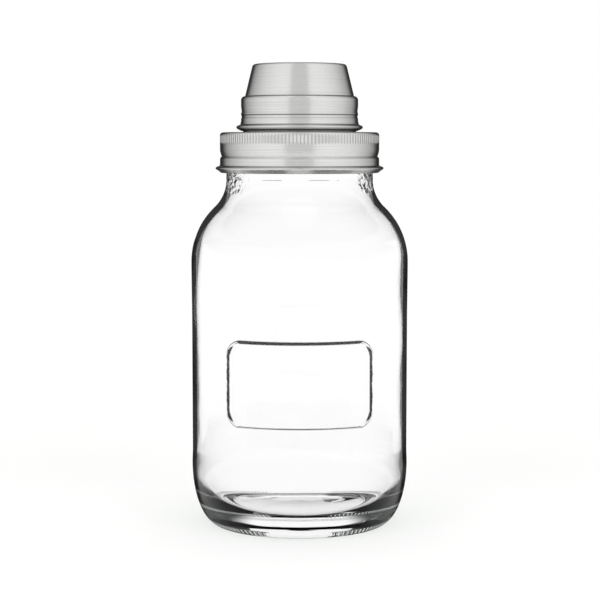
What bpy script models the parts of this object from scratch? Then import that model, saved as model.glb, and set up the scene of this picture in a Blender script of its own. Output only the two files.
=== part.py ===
"""Screw-top glass cocktail shaker: a one-litre jar, a steel lid with a strainer, and a measuring cap.

The jar stands on the ground plane with its axis on Z. The lid's pieces hang on an empty on the jar's
rim, and the cap's pieces hang on an empty on the lid, so that each moving group has its own axis.
All lengths are in metres.
"""

import math

import bmesh
import bpy

# How finely round pieces are cut, as counts
TURN_STEPS = 40
HEEL_STEPS = 6
CURVE_STEPS = 4
INNER_STEPS = 3
ARC_STEPS = 2
ROLL_STEPS = 5
HOLE_STEPS = 8

# Fits and sheet
FIT_GAP = 0.0003
STEEL = 0.00045
CUT_OVERRUN = 0.0005
MERGE_DISTANCE = 0.000001

# Jar body
JAR_HEIGHT = 0.1803
BODY_RADIUS = 0.0504
CONTACT_BULGE = 0.0002
HEEL_HEIGHT = 0.0282
HEEL_BLEND = 0.0068
BEARING_RADIUS = 0.0411
BEARING_WIDTH = 0.0030
PUSH_UP_STEP = 0.0010
PUSH_UP_RISE = 0.0035
BODY_WALL = 0.0026
FLOOR_WALL = 0.0052
FLOOR_RADIUS = 0.0300

# Jar shoulder and neck
SHOULDER_ROUND = 0.0350
NECK_FILLET = 0.0179
NECK_HEIGHT = 0.0193
NECK_WALL = 0.0033
SHOULDER_THICKENING = 0.0010
FINISH_HEIGHT = 0.0115
FINISH_INSET = 0.0005
LIP_ROUND = 0.0010
MOUTH_WALL = 0.0030

# Screw thread on the neck and in the lid
THREAD_PITCH = 0.00508
THREAD_HEIGHT = 0.0012
THREAD_ROOT = 0.0024
THREAD_CREST = 0.0010
THREAD_DROP = 0.0024
THREAD_CLEARANCE = 0.0004
THREAD_BITE = 0.00065
THREAD_TURNS = 1.25
LINER_THREAD_TURNS = 1.0
FADE_STEPS = 4

# Raised outline of the label panel, and shares of the straight side, from the heel's blend up to the
# shoulder, at which the panel and the zone set back for the label end
LABEL_ZONE_SHARE = 0.6735
PANEL_FOOT_SHARE = 0.1849
PANEL_HEAD_SHARE = 0.6221
PANEL_WIDTH = 0.0708
PANEL_CORNER = 0.0077
PANEL_LINE_FOOT = 0.0022
PANEL_LINE_TOP = 0.0010
PANEL_LINE_HEIGHT = 0.00045
PANEL_LINE_ROOT = 0.0008

# Lid gasket and threaded liner
GASKET_THICKNESS = 0.00135
GASKET_WIDTH = 0.0045
LINER_WALL = 0.0011

# Lid shell
LID_HEIGHT = 0.0189
LID_CORNER = 0.0017
LID_RIM_WIDTH = 0.00115
LID_RIM_HALF_HEIGHT = 0.0013
LID_RIM_OUTSTAND = 0.0021
BEAD_DROP = 0.01195
BEAD_TAPER = 0.0032
BEAD_RETURN = 0.0014
BEAD_DEPTH = 0.0008
KNURL_HEIGHT = 0.0045
KNURL_PITCH = 0.001626
KNURL_DEPTH = 0.00012
KNURL_INSET = 0.00005
SEAT_RING_FILLET = 0.00045
SEAT_RING_HEIGHT = 0.0009

# Pouring collar and strainer
COLLAR_RADIUS = 0.0255
COLLAR_FLANGE = 0.0043
COLLAR_HEADROOM = 0.0010
COLLAR_TURN_IN = 0.0008
COLLAR_LIP = 0.0005
STRAINER_BEND = 0.0008
STRAINER_SKIRT = 0.0027
STRAINER_HOLE_RADIUS = 0.0015
STRAINER_HOLE_PITCH = 0.0060
STRAINER_HOLE_MARGIN = 0.0030

# Measuring cap and its seal
SEAL_THICKNESS = 0.00065
SEAL_HALF_HEIGHT = 0.0010
SEAL_CHAMFER = 0.00025
CAP_HEIGHT = 0.0311
CAP_TOP_RADIUS = 0.0217
CAP_CORNER = 0.0015
CAP_STEP = 0.0019
CAP_SKIRT_HEIGHT = 0.0145
CAP_SEAL_HEIGHT = 0.0079
CAP_GROOVE_OFFSET = 0.00155
CAP_GROOVE_HALF_WIDTH = 0.0009
CAP_GROOVE_DEPTH = 0.00025
CAP_FLARE_HEIGHT = 0.0034
CAP_RIM_ROUND = 0.0012
CAP_RIM_OUTSTAND = 0.00225

# Angles, in degrees from the outward side: how far the jar's heel has turned under where it meets the
# bearing ring, where each rolled rim leaves its skirt and where its edge ends, and where the cap's
# step begins to round
HEEL_TURN = 77.7
ROLL_START = 125.0
ROLL_END = -140.0
STEP_START = 70.0

# Sizes worked out from those above: the gasket lies round the collar's flange, and the jar's neck
# and the lid are made round the gasket
CONTACT_RADIUS = BODY_RADIUS + CONTACT_BULGE
NECK_BASE = JAR_HEIGHT - NECK_HEIGHT
INNER_RADIUS = BODY_RADIUS - BODY_WALL
GASKET_INNER = COLLAR_RADIUS + COLLAR_FLANGE + 2 * FIT_GAP
GASKET_OUTER = GASKET_INNER + GASKET_WIDTH
LINER_ROOT_RADIUS = GASKET_OUTER + FIT_GAP
THREAD_RADIUS = LINER_ROOT_RADIUS - THREAD_CLEARANCE
FINISH_RADIUS = THREAD_RADIUS - THREAD_HEIGHT
MOUTH_RADIUS = FINISH_RADIUS - MOUTH_WALL
NECK_RADIUS = FINISH_RADIUS + FINISH_INSET
BORE_RADIUS = NECK_RADIUS - NECK_WALL
FLANK_SLOPE = (THREAD_ROOT - THREAD_CREST) / 2 / THREAD_HEIGHT
LINER_CREST_RADIUS = THREAD_RADIUS - THREAD_BITE
LINER_RADIUS = LINER_ROOT_RADIUS + LINER_WALL
LID_RADIUS = LINER_RADIUS + FIT_GAP + STEEL
LID_UNDERSIDE = GASKET_THICKNESS + 2 * FIT_GAP
LID_TOP = LID_UNDERSIDE + STEEL
BEAD_Z = LID_TOP - BEAD_DROP
LINER_BOTTOM = BEAD_Z + STEEL
LID_HOLE_RADIUS = COLLAR_RADIUS + FIT_GAP
CAP_SEAT = LID_TOP + FIT_GAP
CAP_RADIUS = COLLAR_RADIUS + SEAL_THICKNESS + 2 * FIT_GAP + STEEL
COLLAR_TOP = CAP_SEAT + CAP_SKIRT_HEIGHT - COLLAR_HEADROOM


def arc(centre, radii, start, end, steps):
    """Points of an elliptic arc of a turned outline, with angles in degrees from the outward side."""
    points = []
    for step in range(steps + 1):
        angle = math.radians(start + (end - start) * step / steps)
        points.append((centre[0] + radii[0] * math.cos(angle), centre[1] + radii[1] * math.sin(angle)))
    return points


def corner_arc(corner_radius, corner_height, rounding, start, end):
    """A small quarter round whose outer sides would meet at (corner_radius, corner_height)."""
    centre = (corner_radius - rounding, corner_height - rounding)
    return arc(centre, (rounding, rounding), start, end, ARC_STEPS)


def material(name, colour, roughness, metallic, transmission, ior):
    """A Principled material with the piece's colour, roughness and metallic value."""
    made = bpy.data.materials.new(name)
    made.use_nodes = True
    shader = made.node_tree.nodes["Principled BSDF"]
    shader.inputs["Base Color"].default_value = (*colour, 1.0)
    shader.inputs["Roughness"].default_value = roughness
    shader.inputs["Metallic"].default_value = metallic
    shader.inputs["Transmission Weight"].default_value = transmission
    shader.inputs["IOR"].default_value = ior
    made.diffuse_color = (*colour, 1.0)
    return made


def new_object(name, bm, parent, surface):
    """Turn a finished bmesh into a smooth-shaded object of the scene."""
    mesh = bpy.data.meshes.new(name)
    bm.to_mesh(mesh)
    bm.free()
    mesh.shade_smooth()
    mesh.set_sharp_from_angle(angle=math.radians(35))
    if surface is not None:
        mesh.materials.append(surface)
    made = bpy.data.objects.new(name, mesh)
    bpy.context.scene.collection.objects.link(made)
    made.parent = parent
    return made


def turned_bmesh(outline, closed):
    """Spin an outline of (radius, height) points once about Z, joining it where it meets the axis."""
    bm = bmesh.new()
    verts = [bm.verts.new((radius, 0.0, height)) for radius, height in outline]
    followers = verts[1:] + verts[:1] if closed else verts[1:]
    edges = [bm.edges.new(pair) for pair in zip(verts, followers)]
    bmesh.ops.spin(
        bm,
        geom=verts + edges,
        cent=(0.0, 0.0, 0.0),
        axis=(0.0, 0.0, 1.0),
        dvec=(0.0, 0.0, 0.0),
        angle=2 * math.pi,
        steps=TURN_STEPS,
        use_merge=True,
        use_duplicate=False,
    )
    bmesh.ops.remove_doubles(bm, verts=bm.verts, dist=MERGE_DISTANCE)
    return bm


def turned_solid(name, outline, closed, parent, surface):
    """A solid of revolution from a whole outline, closed on itself or from axis to axis."""
    bm = turned_bmesh(outline, closed)
    bmesh.ops.recalc_face_normals(bm, faces=bm.faces)
    return new_object(name, bm, parent, surface)


def turned_sheet(name, outline, parent, surface):
    """A pressed sheet: the outline is its outer side, from the top or the middle down and outwards."""
    bm = turned_bmesh(outline, False)
    made = new_object(name, bm, parent, surface)
    wall = made.modifiers.new("sheet", "SOLIDIFY")
    wall.thickness = STEEL
    wall.offset = -1.0
    wall.use_even_offset = True
    return made


def combine(target, other, operation):
    """Join a helper solid to a piece, or cut it out, with an exact Boolean."""
    other.hide_render = True
    other.display_type = "WIRE"
    step = target.modifiers.new(other.name, "BOOLEAN")
    step.operation = operation
    step.solver = "EXACT"
    step.object = other


def swept_solid(name, sections, closed, parent):
    """A solid through a row of equal cross-sections, each a ring of points, with capped ends."""
    bm = bmesh.new()
    rings = [[bm.verts.new(point) for point in section] for section in sections]
    followers = rings[1:] + rings[:1] if closed else rings[1:]
    for ring, following in zip(rings, followers):
        for index in range(len(ring)):
            after = (index + 1) % len(ring)
            bm.faces.new((ring[index], ring[after], following[after], following[index]))
    if not closed:
        bm.faces.new(rings[0])
        bm.faces.new(rings[-1])
    bmesh.ops.recalc_face_normals(bm, faces=bm.faces)
    return new_object(name, bm, parent, None)


def helix_ridge(name, top_z, turns, root_radius, crest_radius, sink, start_angle, parent):
    """A right-hand thread ridge that runs down from top_z, sunk into its wall and faded at both ends."""
    steps = round(TURN_STEPS * turns)
    base = root_radius + sink
    base_half = THREAD_CREST / 2 + FLANK_SLOPE * abs(crest_radius - base)
    sections = []
    for step in range(steps + 1):
        angle = start_angle - 2 * math.pi * turns * step / steps
        height = top_z - THREAD_PITCH * turns * step / steps
        fade = min(1.0, min(step, steps - step) / FADE_STEPS)
        crest = root_radius + (crest_radius - root_radius) * fade
        if fade == 0.0:
            crest = root_radius + sink / 2
        corners = (
            (base, height - base_half),
            (crest, height - THREAD_CREST / 2),
            (crest, height + THREAD_CREST / 2),
            (base, height + base_half),
        )
        sections.append([(r * math.cos(angle), r * math.sin(angle), z) for r, z in corners])
    return swept_solid(name, sections, False, parent)


def shoulder_curve(body_radius, neck_radius, rounding, fillet, neck_base, steps):
    """Two tangent arcs from the body up to the neck, and the height at which they leave the body."""
    reach = rounding + fillet
    bend = math.acos(1 - (body_radius - neck_radius) / reach)
    base = neck_base - reach * math.sin(bend)
    turn = math.degrees(bend)
    lower = arc((body_radius - rounding, base), (rounding, rounding), 0.0, turn, steps)
    upper = arc((neck_radius + fillet, neck_base), (fillet, fillet), 180.0 + turn, 180.0, steps)
    return lower + upper[1:], base


def outer_shoulder():
    """The outer shoulder's points and the height at which it starts."""
    return shoulder_curve(
        CONTACT_RADIUS, NECK_RADIUS, SHOULDER_ROUND, NECK_FILLET, NECK_BASE, CURVE_STEPS
    )


def side_height(share):
    """The height at a share of the jar's straight side, from the heel's blend up to the shoulder."""
    _, shoulder_base = outer_shoulder()
    foot = HEEL_HEIGHT + HEEL_BLEND
    return foot + (shoulder_base - foot) * share


def jar_outside():
    """The jar's outer side in section, from the middle of its base up to the top of its lip."""
    bearing_inner = BEARING_RADIUS - BEARING_WIDTH
    dome_edge = bearing_inner - PUSH_UP_STEP
    points = arc((0.0, PUSH_UP_STEP), (dome_edge, PUSH_UP_RISE), 90.0, 0.0, INNER_STEPS)
    points += [(bearing_inner, 0.0)]
    turn = math.radians(HEEL_TURN)
    heel_radii = ((CONTACT_RADIUS - BEARING_RADIUS) / (1 - math.cos(turn)), HEEL_HEIGHT / math.sin(turn))
    heel_centre = (CONTACT_RADIUS - heel_radii[0], HEEL_HEIGHT)
    points += arc(heel_centre, heel_radii, -HEEL_TURN, 0.0, HEEL_STEPS)
    points += [
        (BODY_RADIUS, HEEL_HEIGHT + HEEL_BLEND),
        (BODY_RADIUS, side_height(LABEL_ZONE_SHARE)),
    ]
    points += outer_shoulder()[0]
    finish_base = JAR_HEIGHT - FINISH_HEIGHT
    points += [
        (NECK_RADIUS, finish_base - FINISH_INSET),
        (FINISH_RADIUS, finish_base),
    ]
    return points + corner_arc(FINISH_RADIUS, JAR_HEIGHT, LIP_ROUND, 0.0, 90.0)


def jar_inside():
    """The jar's inner side in section, from the top of its lip down to the middle of its floor."""
    lip = (MOUTH_RADIUS + LIP_ROUND, JAR_HEIGHT - LIP_ROUND)
    points = arc(lip, (LIP_ROUND, LIP_ROUND), 90.0, 180.0, ARC_STEPS)
    inner_round = SHOULDER_ROUND - BODY_WALL
    inner_base = NECK_BASE - SHOULDER_THICKENING
    shoulder, _ = shoulder_curve(
        INNER_RADIUS, BORE_RADIUS, inner_round, NECK_FILLET + NECK_WALL, inner_base, INNER_STEPS
    )
    points += reversed(shoulder)
    floor_edge = PUSH_UP_STEP + FLOOR_WALL
    heel_radii = (INNER_RADIUS - FLOOR_RADIUS, HEEL_HEIGHT - floor_edge)
    points += arc((FLOOR_RADIUS, HEEL_HEIGHT), heel_radii, 0.0, -90.0, CURVE_STEPS)
    return points + arc((0.0, floor_edge), (FLOOR_RADIUS, PUSH_UP_RISE), 0.0, 90.0, INNER_STEPS)[1:]


def panel_outline():
    """Points (across, up) of the panel's rounded rectangle, closely enough spaced to follow the glass."""
    foot = side_height(PANEL_FOOT_SHARE)
    head = side_height(PANEL_HEAD_SHARE)
    radii = (PANEL_CORNER, PANEL_CORNER)
    reach = PANEL_WIDTH / 2 - PANEL_CORNER
    facet = 2 * math.pi * BODY_RADIUS / TURN_STEPS
    side_steps = math.ceil(2 * reach / facet)
    shares = [step / side_steps for step in range(1, side_steps)]
    points = arc((reach, foot + PANEL_CORNER), radii, -90.0, 0.0, CURVE_STEPS)
    points += arc((reach, head - PANEL_CORNER), radii, 0.0, 90.0, CURVE_STEPS)
    points += [(reach - 2 * reach * share, head) for share in shares]
    points += arc((-reach, head - PANEL_CORNER), radii, 90.0, 180.0, CURVE_STEPS)
    points += arc((-reach, foot + PANEL_CORNER), radii, 180.0, 270.0, CURVE_STEPS)
    return points + [(2 * reach * share - reach, foot) for share in shares]


def panel_ridge():
    """The raised line round the label panel, laid on the front of the body and sunk into its glass."""
    points = panel_outline()
    section = (
        (-PANEL_LINE_FOOT / 2, -PANEL_LINE_ROOT),
        (-PANEL_LINE_TOP / 2, PANEL_LINE_HEIGHT),
        (PANEL_LINE_TOP / 2, PANEL_LINE_HEIGHT),
        (PANEL_LINE_FOOT / 2, -PANEL_LINE_ROOT),
    )
    sections = []
    for index, (across, up) in enumerate(points):
        before = points[index - 1]
        after = points[(index + 1) % len(points)]
        run = math.hypot(after[0] - before[0], after[1] - before[1])
        side = ((after[1] - before[1]) / run, (before[0] - after[0]) / run)
        ring = []
        for offset, rise in section:
            angle = (across + side[0] * offset) / BODY_RADIUS
            radius = BODY_RADIUS + rise
            ring.append((radius * math.sin(angle), -radius * math.cos(angle), up + side[1] * offset))
        sections.append(ring)
    return swept_solid("panel_ridge_guide", sections, True, None)


def build_jar(glass):
    """The glass jar with its neck thread and the raised outline of its label panel."""
    jar = turned_solid("glass_jar", jar_outside() + jar_inside(), False, None, glass)
    thread_top = JAR_HEIGHT - THREAD_DROP
    thread = helix_ridge(
        "jar_thread_guide", thread_top, THREAD_TURNS, FINISH_RADIUS, THREAD_RADIUS, -CUT_OVERRUN, 0.0, None
    )
    combine(jar, thread, "UNION")
    combine(jar, panel_ridge(), "UNION")
    return jar


def build_gasket(lid, silicone):
    """The flat ring that the lid presses on the jar's rim."""
    outline = [
        (GASKET_INNER, FIT_GAP),
        (GASKET_OUTER, FIT_GAP),
        (GASKET_OUTER, FIT_GAP + GASKET_THICKNESS),
        (GASKET_INNER, FIT_GAP + GASKET_THICKNESS),
    ]
    return turned_solid("lid_gasket", outline, True, lid, silicone)


def build_liner(lid, plastic):
    """The moulded ring in the lid's skirt, with the thread that winds on to the jar."""
    top = LID_UNDERSIDE - FIT_GAP
    taper_top = BEAD_Z + BEAD_TAPER
    taper_share = (taper_top - LINER_BOTTOM) / BEAD_TAPER
    outline = [
        (LINER_ROOT_RADIUS, top),
        (LINER_ROOT_RADIUS, LINER_BOTTOM),
        (LINER_RADIUS - BEAD_DEPTH * taper_share, LINER_BOTTOM),
        (LINER_RADIUS, taper_top),
    ]
    outline += corner_arc(LINER_RADIUS, top, LID_CORNER - STEEL - FIT_GAP, 0.0, 90.0)
    ring = turned_solid("thread_ring", outline, True, lid, plastic)

    beside_jar_ridge = -THREAD_DROP - THREAD_CREST - FLANK_SLOPE * THREAD_BITE - FIT_GAP
    low = LINER_BOTTOM + THREAD_ROOT / 2 + FIT_GAP
    high = low + THREAD_PITCH * LINER_THREAD_TURNS
    lead = 2 * math.pi * (high - beside_jar_ridge) / THREAD_PITCH
    sink = min(FIT_GAP, LINER_WALL / 2)
    thread = helix_ridge(
        "liner_thread_guide", high, LINER_THREAD_TURNS, LINER_ROOT_RADIUS, LINER_CREST_RADIUS, sink, lead, lid
    )
    combine(ring, thread, "UNION")
    return ring


def knurl_cutter(lid):
    """A ring whose inner side has the knurl's teeth, which cuts the grooves between the ribs."""
    count = round(2 * math.pi * LID_RADIUS / KNURL_PITCH)
    crest = LID_RADIUS * math.cos(math.pi / TURN_STEPS) - KNURL_INSET
    outside = LID_RADIUS + CUT_OVERRUN
    top = LID_TOP - LID_CORNER
    sections = []
    for step in range(2 * count):
        angle = math.pi * step / count
        tooth = crest - KNURL_DEPTH * (step % 2)
        corners = (
            (tooth, top - KNURL_HEIGHT),
            (outside, top - KNURL_HEIGHT),
            (outside, top),
            (tooth, top),
        )
        sections.append([(r * math.cos(angle), r * math.sin(angle), z) for r, z in corners])
    return swept_solid("knurl_guide", sections, True, lid)


def build_lid_shell(lid, steel):
    """The pressed lid: seat ring, top, knurled skirt, level bead and rolled rim."""
    seat_edge = LID_HOLE_RADIUS + STEEL
    fillet = (SEAT_RING_FILLET, SEAT_RING_FILLET)
    outline = [(seat_edge, LID_TOP + SEAT_RING_HEIGHT)]
    outline += arc(
        (seat_edge + SEAT_RING_FILLET, LID_TOP + SEAT_RING_FILLET), fillet, 180.0, 270.0, ARC_STEPS
    )
    outline += corner_arc(LID_RADIUS, LID_TOP, LID_CORNER, 90.0, 0.0)
    outline += [
        (LID_RADIUS, BEAD_Z + BEAD_TAPER),
        (LID_RADIUS - BEAD_DEPTH, BEAD_Z),
        (LID_RADIUS, BEAD_Z - BEAD_RETURN),
    ]
    rim_z = LID_TOP - LID_HEIGHT + LID_RIM_HALF_HEIGHT
    rim_r = LID_RADIUS + LID_RIM_OUTSTAND - LID_RIM_WIDTH
    outline += [(LID_RADIUS, rim_z + LID_RIM_HALF_HEIGHT)]
    outline += arc((rim_r, rim_z), (LID_RIM_WIDTH, LID_RIM_HALF_HEIGHT), ROLL_START, ROLL_END, ROLL_STEPS)
    shell = turned_sheet("lid_shell", outline, lid, steel)
    combine(shell, knurl_cutter(lid), "DIFFERENCE")
    return shell


def build_collar(lid, steel):
    """The drawn pouring collar, flanged under the lid's top and turned in at its mouth."""
    fillet = SEAT_RING_FILLET + STEEL + FIT_GAP
    flange_z = LID_UNDERSIDE - FIT_GAP
    outline = [(COLLAR_RADIUS - COLLAR_TURN_IN - COLLAR_LIP, COLLAR_TOP)]
    outline += corner_arc(COLLAR_RADIUS, COLLAR_TOP, COLLAR_TURN_IN, 90.0, 0.0)
    outline += arc((COLLAR_RADIUS + fillet, flange_z + fillet), (fillet, fillet), 180.0, 270.0, ARC_STEPS)
    outline += [(COLLAR_RADIUS + COLLAR_FLANGE, flange_z)]
    return turned_sheet("pouring_collar", outline, lid, steel)


def strainer_holes(lid, height, plate_radius):
    """One helper solid of round pins in rings, which cuts the strainer's holes."""
    rings = int((plate_radius - STRAINER_HOLE_MARGIN) / STRAINER_HOLE_PITCH)
    bm = bmesh.new()
    for ring in range(rings + 1):
        count = max(1, 6 * ring)
        reach = STRAINER_HOLE_PITCH * ring
        for index in range(count):
            angle = 2 * math.pi * (index + 0.5 * (ring % 2)) / count
            pin = bmesh.ops.create_cone(
                bm,
                cap_ends=True,
                segments=HOLE_STEPS,
                radius1=STRAINER_HOLE_RADIUS,
                radius2=STRAINER_HOLE_RADIUS,
                depth=STEEL + 2 * CUT_OVERRUN,
            )
            place = (reach * math.cos(angle), reach * math.sin(angle), height)
            bmesh.ops.translate(bm, verts=pin["verts"], vec=place)
    return new_object("strainer_holes_guide", bm, lid, None)


def build_strainer(lid, steel):
    """The perforated plate, with a turned-down skirt, that sits under the collar's mouth."""
    radius = COLLAR_RADIUS - STEEL - FIT_GAP
    top = COLLAR_TOP - STEEL - FIT_GAP
    outline = [(0.0, top)]
    outline += corner_arc(radius, top, STRAINER_BEND, 90.0, 0.0)
    outline += [(radius, top - STRAINER_BEND - STRAINER_SKIRT)]
    plate = turned_sheet("strainer_disc", outline, lid, steel)
    combine(plate, strainer_holes(lid, top - STEEL / 2, radius - STRAINER_BEND), "DIFFERENCE")
    return plate


def build_cap(cap, steel):
    """The measuring cap: a tapered cup, a step, a skirt with two level grooves and a rolled rim."""
    step_z = CAP_SKIRT_HEIGHT + CAP_STEP
    waist = CAP_RADIUS - CAP_STEP
    taper = math.atan2(waist - CAP_TOP_RADIUS, CAP_HEIGHT - step_z)
    corner = (CAP_TOP_RADIUS - CAP_CORNER * math.tan((math.pi / 2 - taper) / 2), CAP_HEIGHT - CAP_CORNER)
    outline = [(0.0, CAP_HEIGHT)]
    outline += arc(corner, (CAP_CORNER, CAP_CORNER), 90.0, math.degrees(taper), ARC_STEPS)
    outline += [(waist, step_z)]
    outline += arc((waist, CAP_SKIRT_HEIGHT), (CAP_STEP, CAP_STEP), STEP_START, 0.0, ARC_STEPS)
    for side in (1, -1):
        groove_z = CAP_SEAL_HEIGHT + side * CAP_GROOVE_OFFSET
        outline += [
            (CAP_RADIUS, groove_z + CAP_GROOVE_HALF_WIDTH),
            (CAP_RADIUS - CAP_GROOVE_DEPTH, groove_z),
            (CAP_RADIUS, groove_z - CAP_GROOVE_HALF_WIDTH),
        ]
    outline += [(CAP_RADIUS, CAP_FLARE_HEIGHT)]
    rim = (CAP_RADIUS + CAP_RIM_OUTSTAND - CAP_RIM_ROUND, CAP_RIM_ROUND)
    outline += arc(rim, (CAP_RIM_ROUND, CAP_RIM_ROUND), ROLL_START, ROLL_END, ROLL_STEPS)
    return turned_sheet("measuring_cap", outline, cap, steel)


def build_seal(cap, silicone):
    """The ring between the cap's two grooves that grips the collar."""
    outer = CAP_RADIUS - STEEL - FIT_GAP
    inner = outer - SEAL_THICKNESS
    low = CAP_SEAL_HEIGHT - SEAL_HALF_HEIGHT
    high = CAP_SEAL_HEIGHT + SEAL_HALF_HEIGHT
    outline = [
        (inner, low),
        (outer - SEAL_CHAMFER, low),
        (outer, CAP_SEAL_HEIGHT),
        (outer - SEAL_CHAMFER, high),
        (inner, high),
    ]
    return turned_solid("cap_seal", outline, True, cap, silicone)


def axis_empty(name, parent, height):
    """An empty on the axis that a moving group turns about or slides along."""
    made = bpy.data.objects.new(name, None)
    bpy.context.scene.collection.objects.link(made)
    made.parent = parent
    made.location = (0.0, 0.0, height)
    return made


def main():
    """Clear the scene and build the shaker."""
    for old in list(bpy.data.objects):
        bpy.data.objects.remove(old, do_unlink=True)
    glass = material("clear_glass", (0.93, 0.96, 0.95), 0.02, 0.0, 1.0, 1.52)
    satin_steel = material("satin_steel", (0.72, 0.72, 0.71), 0.3, 1.0, 0.0, 1.5)
    strainer_steel = material("strainer_steel", (0.66, 0.66, 0.65), 0.35, 1.0, 0.0, 1.5)
    liner_plastic = material("liner_plastic", (0.82, 0.82, 0.80), 0.45, 0.0, 0.0, 1.49)
    silicone = material("silicone", (0.86, 0.86, 0.84), 0.55, 0.0, 0.0, 1.41)

    build_jar(glass)
    lid = axis_empty("lid_axis", None, JAR_HEIGHT)
    build_gasket(lid, silicone)
    build_liner(lid, liner_plastic)
    build_lid_shell(lid, satin_steel)
    build_collar(lid, satin_steel)
    build_strainer(lid, strainer_steel)
    cap = axis_empty("cap_axis", lid, CAP_SEAT)
    build_cap(cap, satin_steel)
    build_seal(cap, silicone)


main()
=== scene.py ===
"""Studio picture of a screw-top glass cocktail shaker with a strainer lid and a measuring cap.

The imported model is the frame. Each piece here is turned or pressed by its own class, stands where its
solid stands and rides on the same body. Lengths are in metres, +Z is up and the front faces -Y.
"""

import logging
import math
from dataclasses import dataclass
from enum import Enum
from typing import Any, Callable, Optional, Sequence, Union

import bmesh
import bpy
from bmesh.types import BMesh, BMVert
from bpy.types import Material, Node, NodeSocket, NodeTree, Object
from mathutils import Matrix, Vector


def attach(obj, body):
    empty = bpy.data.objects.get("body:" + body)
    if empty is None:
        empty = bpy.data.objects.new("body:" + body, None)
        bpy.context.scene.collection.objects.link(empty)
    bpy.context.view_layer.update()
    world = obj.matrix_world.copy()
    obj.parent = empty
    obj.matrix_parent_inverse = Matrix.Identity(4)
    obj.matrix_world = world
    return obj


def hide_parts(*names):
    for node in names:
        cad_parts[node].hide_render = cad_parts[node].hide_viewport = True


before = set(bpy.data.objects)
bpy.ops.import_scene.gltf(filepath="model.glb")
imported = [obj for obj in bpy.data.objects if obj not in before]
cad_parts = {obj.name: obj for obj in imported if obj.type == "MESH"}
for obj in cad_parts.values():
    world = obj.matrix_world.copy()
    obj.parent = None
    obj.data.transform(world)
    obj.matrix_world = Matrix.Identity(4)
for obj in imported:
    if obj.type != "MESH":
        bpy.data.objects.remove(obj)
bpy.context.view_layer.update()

LOG = logging.getLogger("shaker")
Point = tuple[float, float]
Triple = tuple[float, float, float]
Colour = tuple[float, float, float, float]
Rise = Callable[[float, float, float], float]
Inputs = Union[dict[str, Any], Sequence[Any]]

MERGE_DISTANCE = 0.000001
FIT_GAP = 0.0003
SHEET = 0.00045
THREAD_PITCH = 0.00508
SMOOTH = {"interpolation_type": "SMOOTHSTEP"}
COLOURS = {"data_type": "RGBA"}
WHITE = (1.0, 1.0, 1.0, 1.0)
# A ray has crossed both walls of the jar once it has passed more than three glass surfaces
BOTH_WALLS = 3.5
FIRST_TURN = 0.5


class Body(Enum):
    """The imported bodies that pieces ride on."""

    JAR = "jar"
    GASKET = "gasket"
    LID = "lid"
    CAP = "cap"


class Slot(Enum):
    """The record's material slots."""

    GLASS = "clear_glass"
    SATIN_STEEL = "satin_steel"
    STRAINER_STEEL = "strainer_steel"
    PLASTIC = "liner_plastic"
    SILICONE = "silicone"


class Grain(Enum):
    """Which way a steel surface was brushed."""

    AROUND = "around the axis"
    STRAIGHT = "straight across the sheet"


# Shapes


def arc(centre: Point, radii: Point, start: float, end: float, steps: int) -> list[Point]:
    """Work out the points of an elliptic arc of a turned outline.

    Args:
        centre: Radius and height of the arc's centre.
        radii: Half-widths outwards and upwards.
        start: First angle, in degrees from the outward side.
        end: Last angle, in degrees.
        steps: Number of chords.

    Returns:
        Points of radius and height, both ends included.
    """
    points = []
    for step in range(steps + 1):
        angle = math.radians(start + (end - start) * step / steps)
        points.append((centre[0] + radii[0] * math.cos(angle), centre[1] + radii[1] * math.sin(angle)))
    return points


def corner(radius: float, height: float, rounding: float, start: float, end: float) -> list[Point]:
    """An eight-chord round between two angles in degrees, where sides would meet at (radius, height)."""
    return arc((radius - rounding, height - rounding), (rounding, rounding), start, end, 8)


def spaced(points: Sequence[Point], gap: float) -> list[Point]:
    """Divide an outline's long chords.

    Args:
        points: The outline.
        gap: Widest chord to leave.

    Returns:
        The outline with points added on its chords.
    """
    dense = [points[0]]
    for before, after in zip(points, points[1:]):
        parts = max(1, math.ceil(math.dist(before, after) / gap))
        for part in range(1, parts + 1):
            share = part / parts
            dense.append(tuple(a + (b - a) * share for a, b in zip(before, after)))
    return dense


def ease(value: float, low: float, high: float) -> float:
    """Rise smoothly from 0 at low to 1 at high, or fall where low is above high."""
    share = min(1.0, max(0.0, (value - low) / (high - low)))
    return share * share * (3.0 - 2.0 * share)


def bell(distance: float, half_width: float) -> float:
    """A round-topped bump: 1 in the middle, 0 from the half-width outwards."""
    share = min(1.0, abs(distance) / half_width)
    return 0.5 + 0.5 * math.cos(math.pi * share)


def plateau(distance: float, half_width: float, edge: float = 0.00012) -> float:
    """A flat-topped band: 1 up to the half-width less the edge, 0 from an edge beyond it."""
    return ease(abs(distance), half_width + edge, half_width - edge)


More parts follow.
